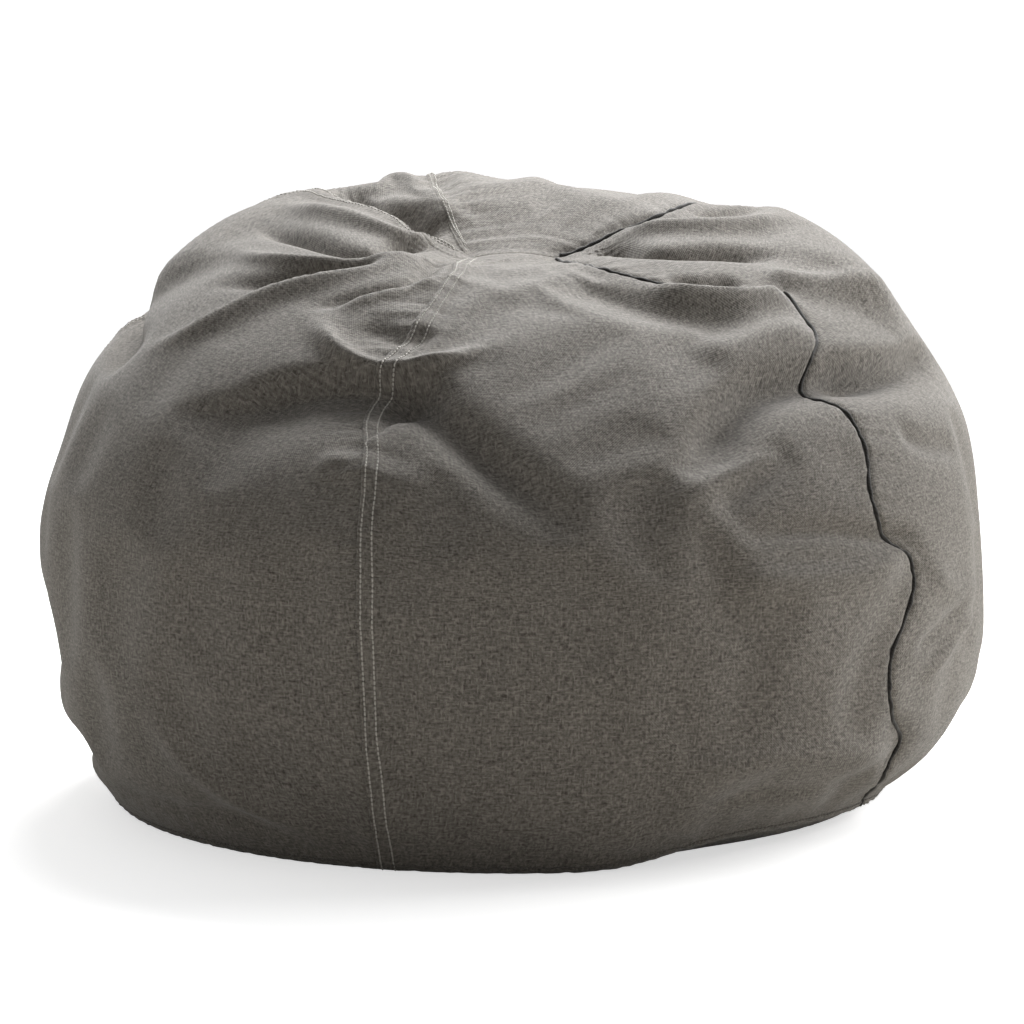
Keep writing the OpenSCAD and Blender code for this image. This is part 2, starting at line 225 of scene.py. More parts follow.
def through(points, samples):
    """Evenly spread samples of a smooth curve that passes through the points."""
    p = np.array(points, float)
    p = np.vstack([2 * p[0] - p[1], p, 2 * p[-1] - p[-2]])
    spans = len(points) - 1
    s = np.linspace(0, spans, samples)
    i = np.minimum(s.astype(int), spans - 1)
    f = (s - i)[:, None]
    a, b, c, d = p[i], p[i + 1], p[i + 2], p[i + 3]
    bend = 2 * a - 5 * b + 4 * c - d
    twist = 3 * b - a - 3 * c + d
    return 0.5 * (2 * b + (c - a) * f + bend * f ** 2 + twist * f ** 3)


def keel_angle():
    """Angle at which the lower curve meets the floor."""
    return -math.asin((BELLY_Z / KEEL_DEPTH) ** (KEEL_POWER / 2))


def skin(az, q):
    """Points of the smooth bag at azimuth az, in degrees, and angle share q."""
    az = np.radians(az)
    a = keel_angle() + (math.pi / 2 - keel_angle()) * q
    cos, sin = np.clip(np.cos(a), 0, 1), np.sin(a)
    r = BELLY_R * np.where(a < 0, cos ** (2 / KEEL_POWER), cos ** (2 / CROWN_POWER))
    rise = (CROWN_Z - BELLY_Z) * np.abs(sin) ** (2 / CROWN_POWER)
    lean = -CROWN_LEAN * np.cos(az) * r / BELLY_R * rise / (CROWN_Z - BELLY_Z)
    dip = DIMPLE_DEPTH * np.exp(-(r / DIMPLE_R) ** 2)
    below = BELLY_Z - KEEL_DEPTH * np.abs(sin) ** (2 / KEEL_POWER)
    z = np.where(a < 0, below, BELLY_Z + rise + lean - dip)
    return np.stack([r * np.sin(az), -r * np.cos(az), z], -1)


def share_table():
    """Angle shares, and the share of the cloth's length at each, up the side of the bag."""
    q = np.linspace(0, 1, 2001)
    steps = np.linalg.norm(np.diff(skin(90.0, q), axis=0), axis=1)
    along = np.concatenate([[0], np.cumsum(steps)])
    return q, along / along[-1], along[-1]


ANGLE_SHARES, CLOTH_SHARES, CLOTH_L = share_table()


def bag(az, t):
    """Points of the smooth bag at azimuth az and share t of the cloth."""
    return skin(az, np.interp(t, CLOTH_SHARES, ANGLE_SHARES))


def bag_normals(az, t):
    """Unit outward normals of the smooth bag."""
    across = bag(az + 0.05, t) - bag(az - 0.05, t)
    up = bag(az, t + 0.0005) - bag(az, t - 0.0005)
    n = np.cross(across, up)
    return n / np.linalg.norm(n, axis=-1, keepdims=True)


def seam_azimuth(i, t):
    """Azimuth of seam i at share t."""
    turns, seam = divmod(i, len(GORES))
    route = through(SEAM_ROUTES[seam], 400)
    return np.interp(t, route[:, 0], route[:, 1]) + 360 * turns


def gore_width(t):
    """Distance between two seams at share t."""
    r = np.linalg.norm(bag(90.0, t)[..., :2], axis=-1)
    return r * math.radians(GORE_ANGLE)


# ---- the rest grid of the cloth ----

def column_shares(t):
    """Share across a gore of each column, with fine columns of constant width beside the seams."""
    edge = np.array(EDGE_STEPS)
    width = gore_width(t)[:, None]
    squeeze = np.minimum(1, width / (5 * edge[-1]))
    left = edge[None, :] * squeeze / width
    start, end = left[:, -1:], 1 - left[:, -1:]
    middle = start + (end - start) * np.linspace(0, 1, MID_STEPS + 1)[None, 1:-1]
    tuck = 1 + TUCK_W * squeeze / width * np.array([[0.4, 1]])
    return np.concatenate([left, middle, 1 - left[:, ::-1], tuck], axis=1)


def gore_grid(g, t, f):
    """(azimuth, share) arrays of gore g, for row shares t and column shares f."""
    a0, a1 = seam_azimuth(g, t)[:, None], seam_azimuth(g + 1, t)[:, None]
    return a0 + (a1 - a0) * f, np.repeat(t[:, None], f.shape[1], 1)


def pinch_offset(g, f):
    """How far along X the crown's end of each column lies from the middle."""
    ends = {0: (-1, 1), 1: (1, 1), 2: (1, -1), 3: (-1, -1), 4: (-1, -1)}[g]
    return PINCH_X * (ends[0] + (ends[1] - ends[0]) * np.clip(f, 0, 1))


def crown_pull(points, offset):
    """Draws the crown's end of the cloth to its two pinches."""
    r = np.linalg.norm(points[..., :2], axis=-1)
    fade = np.exp(-(r / PINCH_R) ** 2)
    pulled = points.copy()
    pulled[..., 0] += offset * fade
    near = np.exp(-(r / (PINCH_R / 3)) ** 2)
    pulled[..., 2] -= PINCH_DIP * near * (np.abs(offset) / PINCH_X) ** 2
    return pulled


def whole_grid():
    """(azimuth, share, pinch offset) of one coarse grid right round the bag."""
    t = np.linspace(0, TIP_SHARE, CLOTH_ROWS + 1)
    f = np.repeat(np.linspace(0, 1, CLOTH_COLS + 1)[None, :-1], len(t), 0)
    parts = [(*gore_grid(g, t, f), pinch_offset(g, f)) for g in range(len(GORES))]
    return [np.concatenate(part, axis=1) for part in zip(*parts)]


def normals_of(grid):
    """Unit outward normals of a grid of points whose rows run up and columns run round."""
    up = np.gradient(grid, axis=0)
    across = np.gradient(grid, axis=1)
    n = np.cross(across, up)
    return n / np.maximum(np.linalg.norm(n, axis=-1, keepdims=True), 1e-12)


# ---- folds ----

def add_fold(points, shift, route, height, left, right, start=0.25, end=0.25):
    """Adds one fold's lift, along the bag's normals, to shift. left and right are its reaches."""
    line = through(route, 64)
    spine = bag(line[:, 0], line[:, 1])
    tangent = np.gradient(spine, axis=0)
    side = np.cross(tangent, bag_normals(line[:, 0], line[:, 1]))
    side /= np.linalg.norm(side, axis=1, keepdims=True)
    reach = 2.6 * max(left, right)
    low, high = spine.min(0) - reach, spine.max(0) + reach
    near = np.nonzero(np.all((points > low) & (points < high), axis=1))[0]
    if not len(near):
        return
    gap = points[near][:, None, :] - spine[None, :, :]
    distance = np.einsum("ijk,ijk->ij", gap, gap)
    k = distance.argmin(1)
    d = np.sqrt(distance[np.arange(len(near)), k])
    across = np.einsum("ij,ij->i", gap[np.arange(len(near)), k], side[k])
    width = np.where(across > 0, right, left)
    along = k / (len(line) - 1)
    taper = ease(along / start) * ease((1 - along) / end)
    shift[near] += height * taper * np.exp(-(d / width) ** 2)


def fold_heights(az, t):
    """How far all the swells and folds together move the smooth bag along its normals."""
    points = bag(az, t).reshape(-1, 3)
    shift = np.zeros(len(points))
    for fold in SWELLS + FOLDS:
        add_fold(points, shift, *fold)
    return shift.reshape(az.shape)


def folded(az, t, heights, offset):
    """The bag's points, moved out by heights and drawn to the pinches."""
    return crown_pull(bag(az, t) + bag_normals(az, t) * heights[..., None], offset)


# ---- simulated cloth ----

def wrapped_faces(rows, cols):
    """Faces of a grid of (rows + 1) by cols points that closes on itself round the bag."""
    j, i = np.meshgrid(np.arange(rows), np.arange(cols), indexing="ij")
    k = (i + 1) % cols
    corners = [j * cols + i, j * cols + k, (j + 1) * cols + k, (j + 1) * cols + i]
    return np.stack(corners, -1).reshape(-1, 4)


def relaxed(grid, t):
    """How far each point of the cover's grid moves when the cloth, a little too long for it, settles."""
    rows, cols = grid.shape[0] - 1, grid.shape[1]
    piece = new_mesh("settling_cloth", grid, wrapped_faces(rows, cols), None)
    held = np.maximum(ease(1 - t / 0.04), ease((t - 0.9) / 0.06))
    held = np.round(HOLD + (1 - HOLD) * held, 2).ravel()
    group = piece.vertex_groups.new(name="held")
    for weight in np.unique(held):
        group.add(np.nonzero(held == weight)[0].tolist(), float(weight), "REPLACE")
    cloth = piece.modifiers.new("cloth", "CLOTH")
    setup = cloth.settings
    setup.quality = 6
    setup.mass = 0.3
    setup.tension_stiffness = 25
    setup.compression_stiffness = 25
    setup.shear_stiffness = 10
    setup.bending_stiffness = 6
    setup.air_damping = 4
    setup.vertex_group_mass = "held"
    setup.shrink_min = -SPARE_CLOTH
    setup.effector_weights.gravity = 0
    setup.use_pressure = True
    setup.uniform_pressure_force = 3
    cloth.collision_settings.use_collision = False
    cloth.point_cache.frame_end = CLOTH_FRAMES
    scene = bpy.context.scene
    for step in range(1, CLOTH_FRAMES + 1):
        scene.frame_set(step)
    settled = piece.evaluated_get(bpy.context.evaluated_depsgraph_get()).data
    points = np.zeros(len(settled.vertices) * 3, np.float32)
    settled.vertices.foreach_get("co", points)
    bpy.data.objects.remove(piece)
    scene.frame_set(1)
    return points.reshape(grid.shape) - grid


def averaged(field, passes):
    """The field blended with its neighbours, wrapping round the bag, once for each pass."""
    for _ in range(passes):
        field = (np.roll(field, 1, 1) + 2 * field + np.roll(field, -1, 1)) / 4
        above, below = np.concatenate([field[1:], field[-1:]]), np.concatenate([field[:1], field[:-1]])
        field = (above + 2 * field + below) / 4
    return field


def spline_weights(at, count, wrap):
    """Indexes and weights of the four grid lines that a smooth curve blends at each place."""
    i = np.floor(at).astype(int)
    u = at - i
    weights = [(1 - u) ** 3, 3 * u ** 3 - 6 * u ** 2 + 4, -3 * u ** 3 + 3 * u ** 2 + 3 * u + 1, u ** 3]
    lines = [(i + k) % count if wrap else np.clip(i + k, 0, count - 1) for k in (-1, 0, 1, 2)]
    return lines, [w / 6 for w in weights]


def moves_at(moves, g, f):
    """The simulated moves, smoothly interpolated to the final grid of gore g."""
    at = np.linspace(0, CLOTH_ROWS, ROWS + 1)
    lines, weights = spline_weights(at, len(moves), False)
    rows = sum(moves[k] * w[:, None, None] for k, w in zip(lines, weights))
    lines, weights = spline_weights((g + f) * CLOTH_COLS, moves.shape[1], True)
    row = np.arange(len(rows))[:, None]
    return sum(rows[row, k] * w[..., None] for k, w in zip(lines, weights))


# ---- relief of the seams ----

def ripple(along, seed, shortest=0.012, longest=0.045):
    """Smooth random waves of height about 1 at distances along a seam."""
    rng = np.random.default_rng(seed)
    lengths = np.geomspace(shortest, longest, 7)
    waves = [np.sin(2 * math.pi * (along / length + rng.random())) * rng.uniform(0.5, 1)
             for length in lengths]
    return sum(waves) / 2.6


def seam_relief(g, t, f):
    """How far the layers, stitches and puckers beside its two seams move the cloth of gore g."""
    width = gore_width(t)[:, None]
    along = CLOTH_L * t[:, None]
    lift = np.zeros(f.shape)
    for edge, seam in ((0, g), (1, (g + 1) % len(GORES))):
        d = width * (f if edge == 0 else 1 - f)
        beyond = np.maximum(-d, 0)
        d = np.maximum(d, 0)
        pucker = ripple(along + 0.35 * d, SEAM_SEED + seam * 2 + edge) * np.exp(-(d / PUCKER_REACH) ** 2)
        if seam in PIPED:
            lift += 0.0007 * pucker - PIPED_SINK * np.exp(-(d / 0.0042) ** 2) - PIPED_TUCK * beyond
        elif edge == 0:
            layers = FELL_T * (1 - ease((d - FELL_W) / 0.003)) - 0.0005 * np.exp(-(d / 0.0014) ** 2)
            sunk = sum(np.exp(-((d - row) / 0.0016) ** 2) for row in STITCH_ROWS)
            lift += layers - 0.0006 * sunk * (1 + 0.4 * pucker) + 0.0009 * pucker
        else:
            lift += 0.0009 * pucker - 0.0006 * np.exp(-(d / 0.003) ** 2) - FELLED_TUCK * beyond
    base_pucker = ripple(width * f, BASE_SEED + g, 0.01, 0.03) * np.exp(-(along / 0.02) ** 2)
    return (lift + 0.0006 * base_pucker) * ease((1 - t[:, None]) / 0.03)


# ---- meshes ----

def new_mesh(name, points, faces, material):
    """A smooth-shaded object in the scene from points and faces."""
    mesh = bpy.data.meshes.new(name)
    corners = [list(map(int, face)) for face in faces]
    mesh.from_pydata(np.asarray(points, float).reshape(-1, 3).tolist(), [], corners)
    mesh.polygons.foreach_set("use_smooth", [True] * len(mesh.polygons))
    mesh.update()
    piece = bpy.data.objects.new(name, mesh)
    bpy.context.scene.collection.objects.link(piece)
    if material:
        piece.data.materials.append(material)
    return piece


def place(piece, cad_node):
    """Rides piece on the root and hides the CAD node it stands for."""
    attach(piece, "root")
    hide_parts(cad_node)


def sheet_faces(rows, cols):
    """Faces of a closed sheet: (rows + 1) by (cols + 1) outside points, then the same inside."""
    n = cols + 1
    inner = n * (rows + 1)
    j, i = np.meshgrid(np.arange(rows), np.arange(cols), indexing="ij")
    a = (j * n + i).ravel()
    outside = np.stack([a, a + 1, a + n + 1, a + n], 1)
    inside = np.stack([a, a + n, a + n + 1, a + 1], 1) + inner
    left = np.arange(rows) * n
    right = left + cols
    low = np.arange(cols)
    high = low + rows * n
    rim = np.concatenate([
        np.stack([left, left + n, left + n + inner, left + inner], 1),
        np.stack([right, right + inner, right + n + inner, right + n], 1),
        np.stack([low, low + inner, low + 1 + inner, low + 1], 1),
        np.stack([high, high + 1, high + 1 + inner, high + inner], 1),
    ])
    return np.concatenate([outside, inside, rim])


def set_cloth_map(piece, flat):
    """Stores where each vertex lies on the flat cloth, in metres, for the weave."""
    layer = piece.data.uv_layers.new(name="cloth")
    loops = np.zeros(len(piece.data.loops), int)
    piece.data.loops.foreach_get("vertex_index", loops)
    layer.data.foreach_set("uv", np.asarray(flat, np.float32)[loops].ravel())


def add_sheet(name, outside, inside, flat, slot, cad_node):
    """A closed sheet of cloth from the grids of its two sides. flat is where they lie on flat cloth."""
    points = np.concatenate([outside.reshape(-1, 3), inside.reshape(-1, 3)])
    faces = sheet_faces(outside.shape[0] - 1, outside.shape[1] - 1)
    piece = new_mesh(name, points, faces, MATERIALS[slot])
    flat = flat.reshape(-1, 2)
    set_cloth_map(piece, np.concatenate([flat, flat]))
    place(piece, cad_node)
    return piece


def tube(line, radius, sides, normals):
    """Points and faces of a closed tube round a line of points."""
    tangent = np.gradient(line, axis=0)
    tangent /= np.linalg.norm(tangent, axis=1, keepdims=True)
    side = np.cross(tangent, normals)
    side /= np.linalg.norm(side, axis=1, keepdims=True)
    up = np.cross(side, tangent)
    turn = np.arange(sides) * 2 * math.pi / sides
    radius = np.broadcast_to(np.asarray(radius, float), (len(line),))
    ring = side[:, None, :] * np.cos(turn)[None, :, None] + up[:, None, :] * np.sin(turn)[None, :, None]
    points = (line[:, None, :] + ring * radius[:, None, None]).reshape(-1, 3)
    rings = len(line)
    j, i = np.meshgrid(np.arange(rings - 1), np.arange(sides), indexing="ij")
    k = (i + 1) % sides
    quads = np.stack([j * sides + i, (j + 1) * sides + i, (j + 1) * sides + k, j * sides + k], -1)
    caps = [list(range(sides)), [(rings - 1) * sides + i for i in range(sides)][::-1]]
    return points, quads.reshape(-1, 4).tolist() + caps


def joined(parts):
    """Points and faces of several closed shapes as one mesh."""
    points, faces, start = [], [], 0
    for p, shape in parts:
        points.append(p)
        faces += [[v + start for v in face] for face in shape]
        start += len(p)
    return np.concatenate(points), faces


def spaced(line, normals, step):
    """The line and its normals at even steps of its length."""
    length = np.concatenate([[0], np.cumsum(np.linalg.norm(np.diff(line, axis=0), axis=1))])
    at = np.arange(0, length[-1], step)
    pick = [np.stack([np.interp(at, length, a[:, k]) for k in range(3)], 1) for a in (line, normals)]
    return pick[0], pick[1] / np.linalg.norm(pick[1], axis=1, keepdims=True)


def stitches(line, normals):
    """One thread's visible stitches along a line: each rises from the cloth and dips back into it."""
    fine = 5
    line, normals = spaced(line, normals, STITCH_PITCH / fine)
    parts = []
    for k in range(0, len(line) - fine, fine):
        p, n = line[k:k + fine], normals[k:k + fine]
        lift = np.array([-0.6, 0.35, 0.6, 0.35, -0.6])[:, None] * THREAD_R
        parts.append(tube(p + n * lift, THREAD_R * np.array([0.6, 1, 1.05, 1, 0.6]), 6, n))
    return joined(parts)


# ---- materials ----

def principled(name, colour, roughness):
    """A new material with a Principled shader. Returns it, its node tree and the shader."""
    material = bpy.data.materials.new(name)
    material.use_nodes = True
    tree = material.node_tree
    shader = tree.nodes["Principled BSDF"]
    shader.inputs["Base Color"].default_value = (*colour, 1)
    shader.inputs["Roughness"].default_value = roughness
    return material, tree, shader


def node(tree, kind, *values, **settings):
    """A shader node with its settings and inputs. A value that is a socket is linked."""
    made = tree.nodes.new(kind)
    for key, value in settings.items():
        setattr(made, key, value)
    for socket, value in zip(made.inputs, values):
        if isinstance(value, bpy.types.NodeSocket):
            tree.links.new(value, socket)
        elif value is not None:
            socket.default_value = value
    return made


def maths(tree, operation, *values):
    """The result of a Math node."""
    return node(tree, "ShaderNodeMath", *values, operation=operation).outputs[0]


def blend(tree, *parts):
    """The sum of (value, weight) parts."""
    scaled = [maths(tree, "MULTIPLY", value, weight) for value, weight in parts]
    total = scaled[0]
    for part in scaled[1:]:
        total = maths(tree, "ADD", total, part)
    return total


def remap(tree, value, *limits):
    """The value, mapped from between the first two limits to between the last two, or 0 and 1."""
    return node(tree, "ShaderNodeMapRange", value, *limits).outputs[0]


def mapped(tree, source, scale):
    """Coordinates multiplied by scale along each axis."""
    return node(tree, "ShaderNodeMapping", source, None, None, scale).outputs[0]


def noise(tree, source, scale, detail=2.0, roughness=0.5, output="Fac"):
    """A noise texture's value or colour."""
    made = tree.nodes.new("ShaderNodeTexNoise")
    tree.links.new(source, made.inputs["Vector"])
    made.inputs["Scale"].default_value = scale
    made.inputs["Detail"].default_value = detail
    made.inputs["Roughness"].default_value = roughness
    return made.outputs[output]


def ramp(tree, fac, *stops):
    """A colour ramp from (place, colour) stops."""
    made = tree.nodes.new("ShaderNodeValToRGB")
    tree.links.new(fac, made.inputs["Fac"])
    band = made.color_ramp.elements
    while len(band) < len(stops):
        band.new(0.5)
    for element, (at, colour) in zip(band, stops):
        element.position = at
        element.color = (*colour, 1)
    return made.outputs["Color"]


def bump(tree, shader, height, depth, strength):
    """Raises the shader's surface by height times depth, in metres."""
    made = tree.nodes.new("ShaderNodeBump")
    made.inputs["Strength"].default_value = strength
    made.inputs["Distance"].default_value = depth
    tree.links.new(height, made.inputs["Height"])
    tree.links.new(made.outputs["Normal"], shader.inputs["Normal"])


def slub_marks(tree, source, scale):
    """Short thick stretches of yarn, 1 on a mark and 0 between them."""
    return remap(tree, noise(tree, mapped(tree, source, scale), 1, 1), 0.6, 0.7)


def woven(name, dark, light, pitch, spread, slubs, roughness=0.9, sheen=0.3):
    """A plain weave in the cloth map's metres. spread is the range of tones from dark to light, and
    slubs how much lighter the thick stretches of yarn are."""
    material, tree, shader = principled(name, light, roughness)
    cloth = node(tree, "ShaderNodeUVMap", uv_map="cloth").outputs[0]
    wobble = node(tree, "ShaderNodeVectorMath", noise(tree, cloth, 90, output="Color"), (0.5, 0.5, 0.5),
                  operation="SUBTRACT").outputs[0]
    wobble = node(tree, "ShaderNodeVectorMath", wobble, operation="SCALE")
    wobble.inputs["Scale"].default_value = pitch * 0.9
    at = node(tree, "ShaderNodeVectorMath", cloth, wobble.outputs[0], operation="ADD").outputs[0]
    parts = node(tree, "ShaderNodeSeparateXYZ", at).outputs
    waves = [maths(tree, "SINE", maths(tree, "MULTIPLY", part, math.pi / pitch)) for part in parts[:2]]
    weave = maths(tree, "MULTIPLY", *waves)
    weft = noise(tree, mapped(tree, at, (100, 450, 1)), 1, 3, 0.6)
    warp = noise(tree, mapped(tree, at, (430, 110, 1)), 1, 3, 0.6)
    yarns = blend(tree, (weft, 0.55), (warp, 0.45))
    heather = noise(tree, at, 330, 2, 0.6)
    cloud = noise(tree, at, 22, 3, 0.6)
    marks = maths(tree, "ADD", slub_marks(tree, at, (135, 540, 1)), slub_marks(tree, at, (540, 135, 1)))
    tone = blend(tree, (yarns, 0.52), (heather, 0.4), (cloud, 0.08), (weave, 0.015), (marks, slubs))
    colour = ramp(tree, tone, (0.5 - spread / 2, dark), (0.5 + spread / 2, light))
    tree.links.new(colour, shader.inputs["Base Color"])
    bump(tree, shader, blend(tree, (weave, 0.3), (yarns, 1.6), (heather, 0.5)), pitch * 0.45, 0.8)
    rough = remap(tree, yarns, 0.3, 0.7, roughness + 0.06, roughness - 0.08)
    tree.links.new(rough, shader.inputs["Roughness"])
    shader.inputs["Sheen Weight"].default_value = sheen
    shader.inputs["Sheen Roughness"].default_value = 0.45
    shader.inputs["Specular IOR Level"].default_value = 0.25
    return material


def twisted(name, dark, light, turns, roughness):
    """A twisted thread or cord: slanted ridges in object space, about turns to the metre."""
    material, tree, shader = principled(name, light, roughness)
    place_at = node(tree, "ShaderNodeTexCoord").outputs["Object"]
    wave = tree.nodes.new("ShaderNodeTexWave")
    wave.bands_direction = "DIAGONAL"
    tree.links.new(place_at, wave.inputs["Vector"])
    wave.inputs["Scale"].default_value = turns / 6
    wave.inputs["Distortion"].default_value = 1.5
    wave.inputs["Detail Scale"].default_value = 3
    fuzz = noise(tree, place_at, turns * 1.7, 2)
    tone = blend(tree, (wave.outputs["Fac"], 0.6), (fuzz, 0.4))
    tree.links.new(ramp(tree, tone, (0.25, dark), (0.75, light)), shader.inputs["Base Color"])
    bump(tree, shader, tone, 0.0002, 0.7)
    rough = remap(tree, fuzz, 0.3, 0.7, roughness - 0.1, roughness + 0.1)
    tree.links.new(rough, shader.inputs["Roughness"])
    shader.inputs["Sheen Weight"].default_value = 0.2
    return material


def nylon(name, colour):
    """Smooth moulded nylon with fine draw lines and light scuffs."""
    material, tree, shader = principled(name, colour, 0.35)
    place_at = node(tree, "ShaderNodeTexCoord").outputs["Object"]
    lines = noise(tree, mapped(tree, place_at, (900, 2600, 2600)), 1, 2)
    scuff = noise(tree, place_at, 240, 3)
    lighter = tuple(c * 1.9 + 0.01 for c in colour)
    tree.links.new(ramp(tree, scuff, (0.4, colour), (0.72, lighter)), shader.inputs["Base Color"])
    rough = remap(tree, scuff, 0.3, 0.7, 0.28, 0.5)
    tree.links.new(rough, shader.inputs["Roughness"])
    bump(tree, shader, lines, 0.00004, 0.5)
    return material


def plated(name):
    """Plated die casting, with a fine grain and smeared patches of tone and roughness."""
    material, tree, shader = principled(name, (0.5, 0.49, 0.47), 0.32)
    place_at = node(tree, "ShaderNodeTexCoord").outputs["Object"]
    grain = noise(tree, place_at, 5200, 3)
    smear = noise(tree, place_at, 420, 3)
    colour = ramp(tree, smear, (0.35, (0.36, 0.35, 0.33)), (0.7, (0.56, 0.55, 0.53)))
    tree.links.new(colour, shader.inputs["Base Color"])
    rough = remap(tree, smear, 0.3, 0.7, 0.24, 0.46)
    tree.links.new(rough, shader.inputs["Roughness"])
    shader.inputs["Metallic"].default_value = 1
    bump(tree, shader, grain, 0.00003, 0.5)
    return material


def bead_material():
    """Expanded polystyrene beads: round cells, with painted shade darkening the soft gaps between them.
    """
    material, tree, shader = principled("beads", (0.86, 0.86, 0.85), 0.55)
    place_at = node(tree, "ShaderNodeTexCoord").outputs["Object"]
    cells = tree.nodes.new("ShaderNodeTexVoronoi")
    cells.inputs["Scale"].default_value = 260
    tree.links.new(place_at, cells.inputs["Vector"])
    near = cells.outputs["Distance"]
    # painted shade: the colour darkens from each bead's middle towards the gaps between beads
    colour = ramp(tree, near, (0.25, (0.88, 0.88, 0.87)), (0.75, (0.42, 0.42, 0.41)))
    tree.links.new(colour, shader.inputs["Base Color"])
    rough = remap(tree, near, 0.0, 0.8, 0.45, 0.8)
    tree.links.new(rough, shader.inputs["Roughness"])
    bump(tree, shader, maths(tree, "MULTIPLY", near, -1.0), 0.0025, 0.9)
    shader.inputs["Subsurface Weight"].default_value = 0.1
    return material


MATERIALS = {
    "canvas": woven("canvas", (0.06, 0.0535, 0.0455), (0.27, 0.249, 0.221), 0.0012, 0.26, 0.143),
    "piping": twisted("piping", (0.008, 0.007, 0.006), (0.03, 0.027, 0.024), 900, 0.8),
    "thread": twisted("thread", (0.36, 0.34, 0.31), (0.7, 0.67, 0.62), 2400, 0.6),
    "base_thread": twisted("base_thread", (0.08, 0.073, 0.065), (0.2, 0.185, 0.165), 2400, 0.7),
    "label": woven("label", (0.5, 0.48, 0.44), (0.72, 0.7, 0.66), 0.0004, 0.6, 0.02, 0.5, 0.1),
    "zip_tape": woven("zip_tape", (0.02, 0.018, 0.016), (0.06, 0.055, 0.05), 0.0006, 0.5, 0.02, 0.75),
    "zip_coil": nylon("zip_coil", (0.012, 0.011, 0.01)),
    "zip_metal": plated("zip_metal"),
    "liner_cloth": woven("liner_cloth", (0.55, 0.54, 0.51), (0.78, 0.77, 0.74), 0.0005, 0.6, 0.02,
                         0.8, 0.1),
    "beads": bead_material(),
}


# ---- the cover ----

def cover_surface():
    """The final outside of the cover: share rows, column shares, (points, normals) per gore, and the
    heights of the coarse grid over the smooth bag."""
    az, share, offset = whole_grid()
    heights = fold_heights(az, share)
    coarse = folded(az, share, heights, offset)
    moves = relaxed(coarse, share)
    moves = WRINKLES * (moves - averaged(moves, BROAD_PASSES))
    heights = heights + (moves * bag_normals(az, share)).sum(-1)
    t = np.linspace(0, TIP_SHARE, ROWS + 1)
    f = column_shares(t)
    grids = []
    for g, name in enumerate(GORES):
        az, share = gore_grid(g, t, f)
        grid = folded(az, share, fold_heights(az, share), pinch_offset(g, f)) + moves_at(moves, g, f)
        grid = grid + normals_of(grid) * seam_relief(g, t, f)[..., None]
        if name == "rear":   # its blunt tip goes under the front gore's
            grid[-1] -= (0, 0.003, COVER_T)
        grid[..., 2] = np.maximum(grid[..., 2], COVER_T / 2)
        grids.append((grid, normals_of(grid)))
    return t, f, grids, heights


def flat_cloth(g, t, f):
    """Where each point of gore g lies on its flat cloth, in metres, with the blunt tips spread."""
    az, share = gore_grid(g, t, f)
    radius = gore_width(t)[:, None] / math.radians(GORE_ANGLE)
    middle = math.radians(FIRST_SEAM + GORE_ANGLE * (g + 0.5))
    across = radius * (np.radians(az) - middle)
    r = np.linalg.norm(bag(az, share)[..., :2], axis=-1)
    across = across + pinch_offset(g, f) * math.cos(middle) * np.exp(-(r / PINCH_R) ** 2)
    return np.stack([across, CLOTH_L * share], -1)


def build_cover_gores(t, f, grids):
    """Five gores of canvas."""
    for g, name in enumerate(GORES):
        grid, out = grids[g]
        flat = flat_cloth(g, t, f) + (PATTERN_SHIFT * g, 0)
        piece = add_sheet(f"cover_gore_{name}_cloth", grid, grid - out * COVER_T, flat, "canvas",
                          f"cover_gore_{name}")


def edge_line(grid_pair, d, share):
    """The line at distance d from a gore's left seam, up to a share of its length, with its normals."""
    column = float(np.interp(d, EDGE_STEPS, np.arange(len(EDGE_STEPS))))
    i, w = int(column), column - int(column)
    rows = int(ROWS * share) + 1
    return [a[:rows, i] * (1 - w) + a[:rows, i + 1] * w for a in grid_pair]


def build_piping(grids):
    """The dark cord in each piped seam."""
    for seam, name in PIPED.items():
        line, out = edge_line(grids[seam], 0.0, PIPING_END)
        line, out = spaced(line + out * PIPING_R * 0.75, out, 0.002)
        points, faces = tube(line, PIPING_R, 12, out)
        piece = new_mesh(f"piping_{name}_cord", points, faces, MATERIALS["piping"])
        place(piece, f"piping_{name}")


def build_topstitch(grids):
    """Two rows of stitches along each felled seam."""
    for seam, name in FELLED.items():
        rows = [stitches(*edge_line(grids[seam], d, TOPSTITCH_END)) for d in STITCH_ROWS]
        piece = new_mesh(f"topstitch_{name}_thread", *joined(rows), MATERIALS["thread"])
        place(piece, f"topstitch_{name}")


def bottom_ring(grids, row=0):
    """Points and normals once round the cover at a row, starting at the first seam."""
    return [np.concatenate([pair[k][row, :-3] for pair in grids]) for k in (0, 1)]


def build_base_stitch(grids):
    """One row of darker stitches just above the base seam."""
    line, out = bottom_ring(grids, 2)
    piece = new_mesh("base_seam_thread", *stitches(line, out), MATERIALS["base_thread"])
    place(piece, "base_seam_stitch")


# ---- base panels and zips ----

def half_ring(ring, side, count):
    """The front (side -1) or rear (side 1) half of a ring of points, evenly spaced from -X to +X."""
    ring = ring[ring[:, 1] * side > 0]
    ring = ring[np.argsort(np.arctan2(ring[:, 0], ring[:, 1] * side))]
    length = np.concatenate([[0], np.cumsum(np.linalg.norm(np.diff(ring, axis=0), axis=1))])
    at = np.linspace(0, length[-1], count)
    return np.stack([np.interp(at, length, ring[:, k]) for k in range(3)], 1)


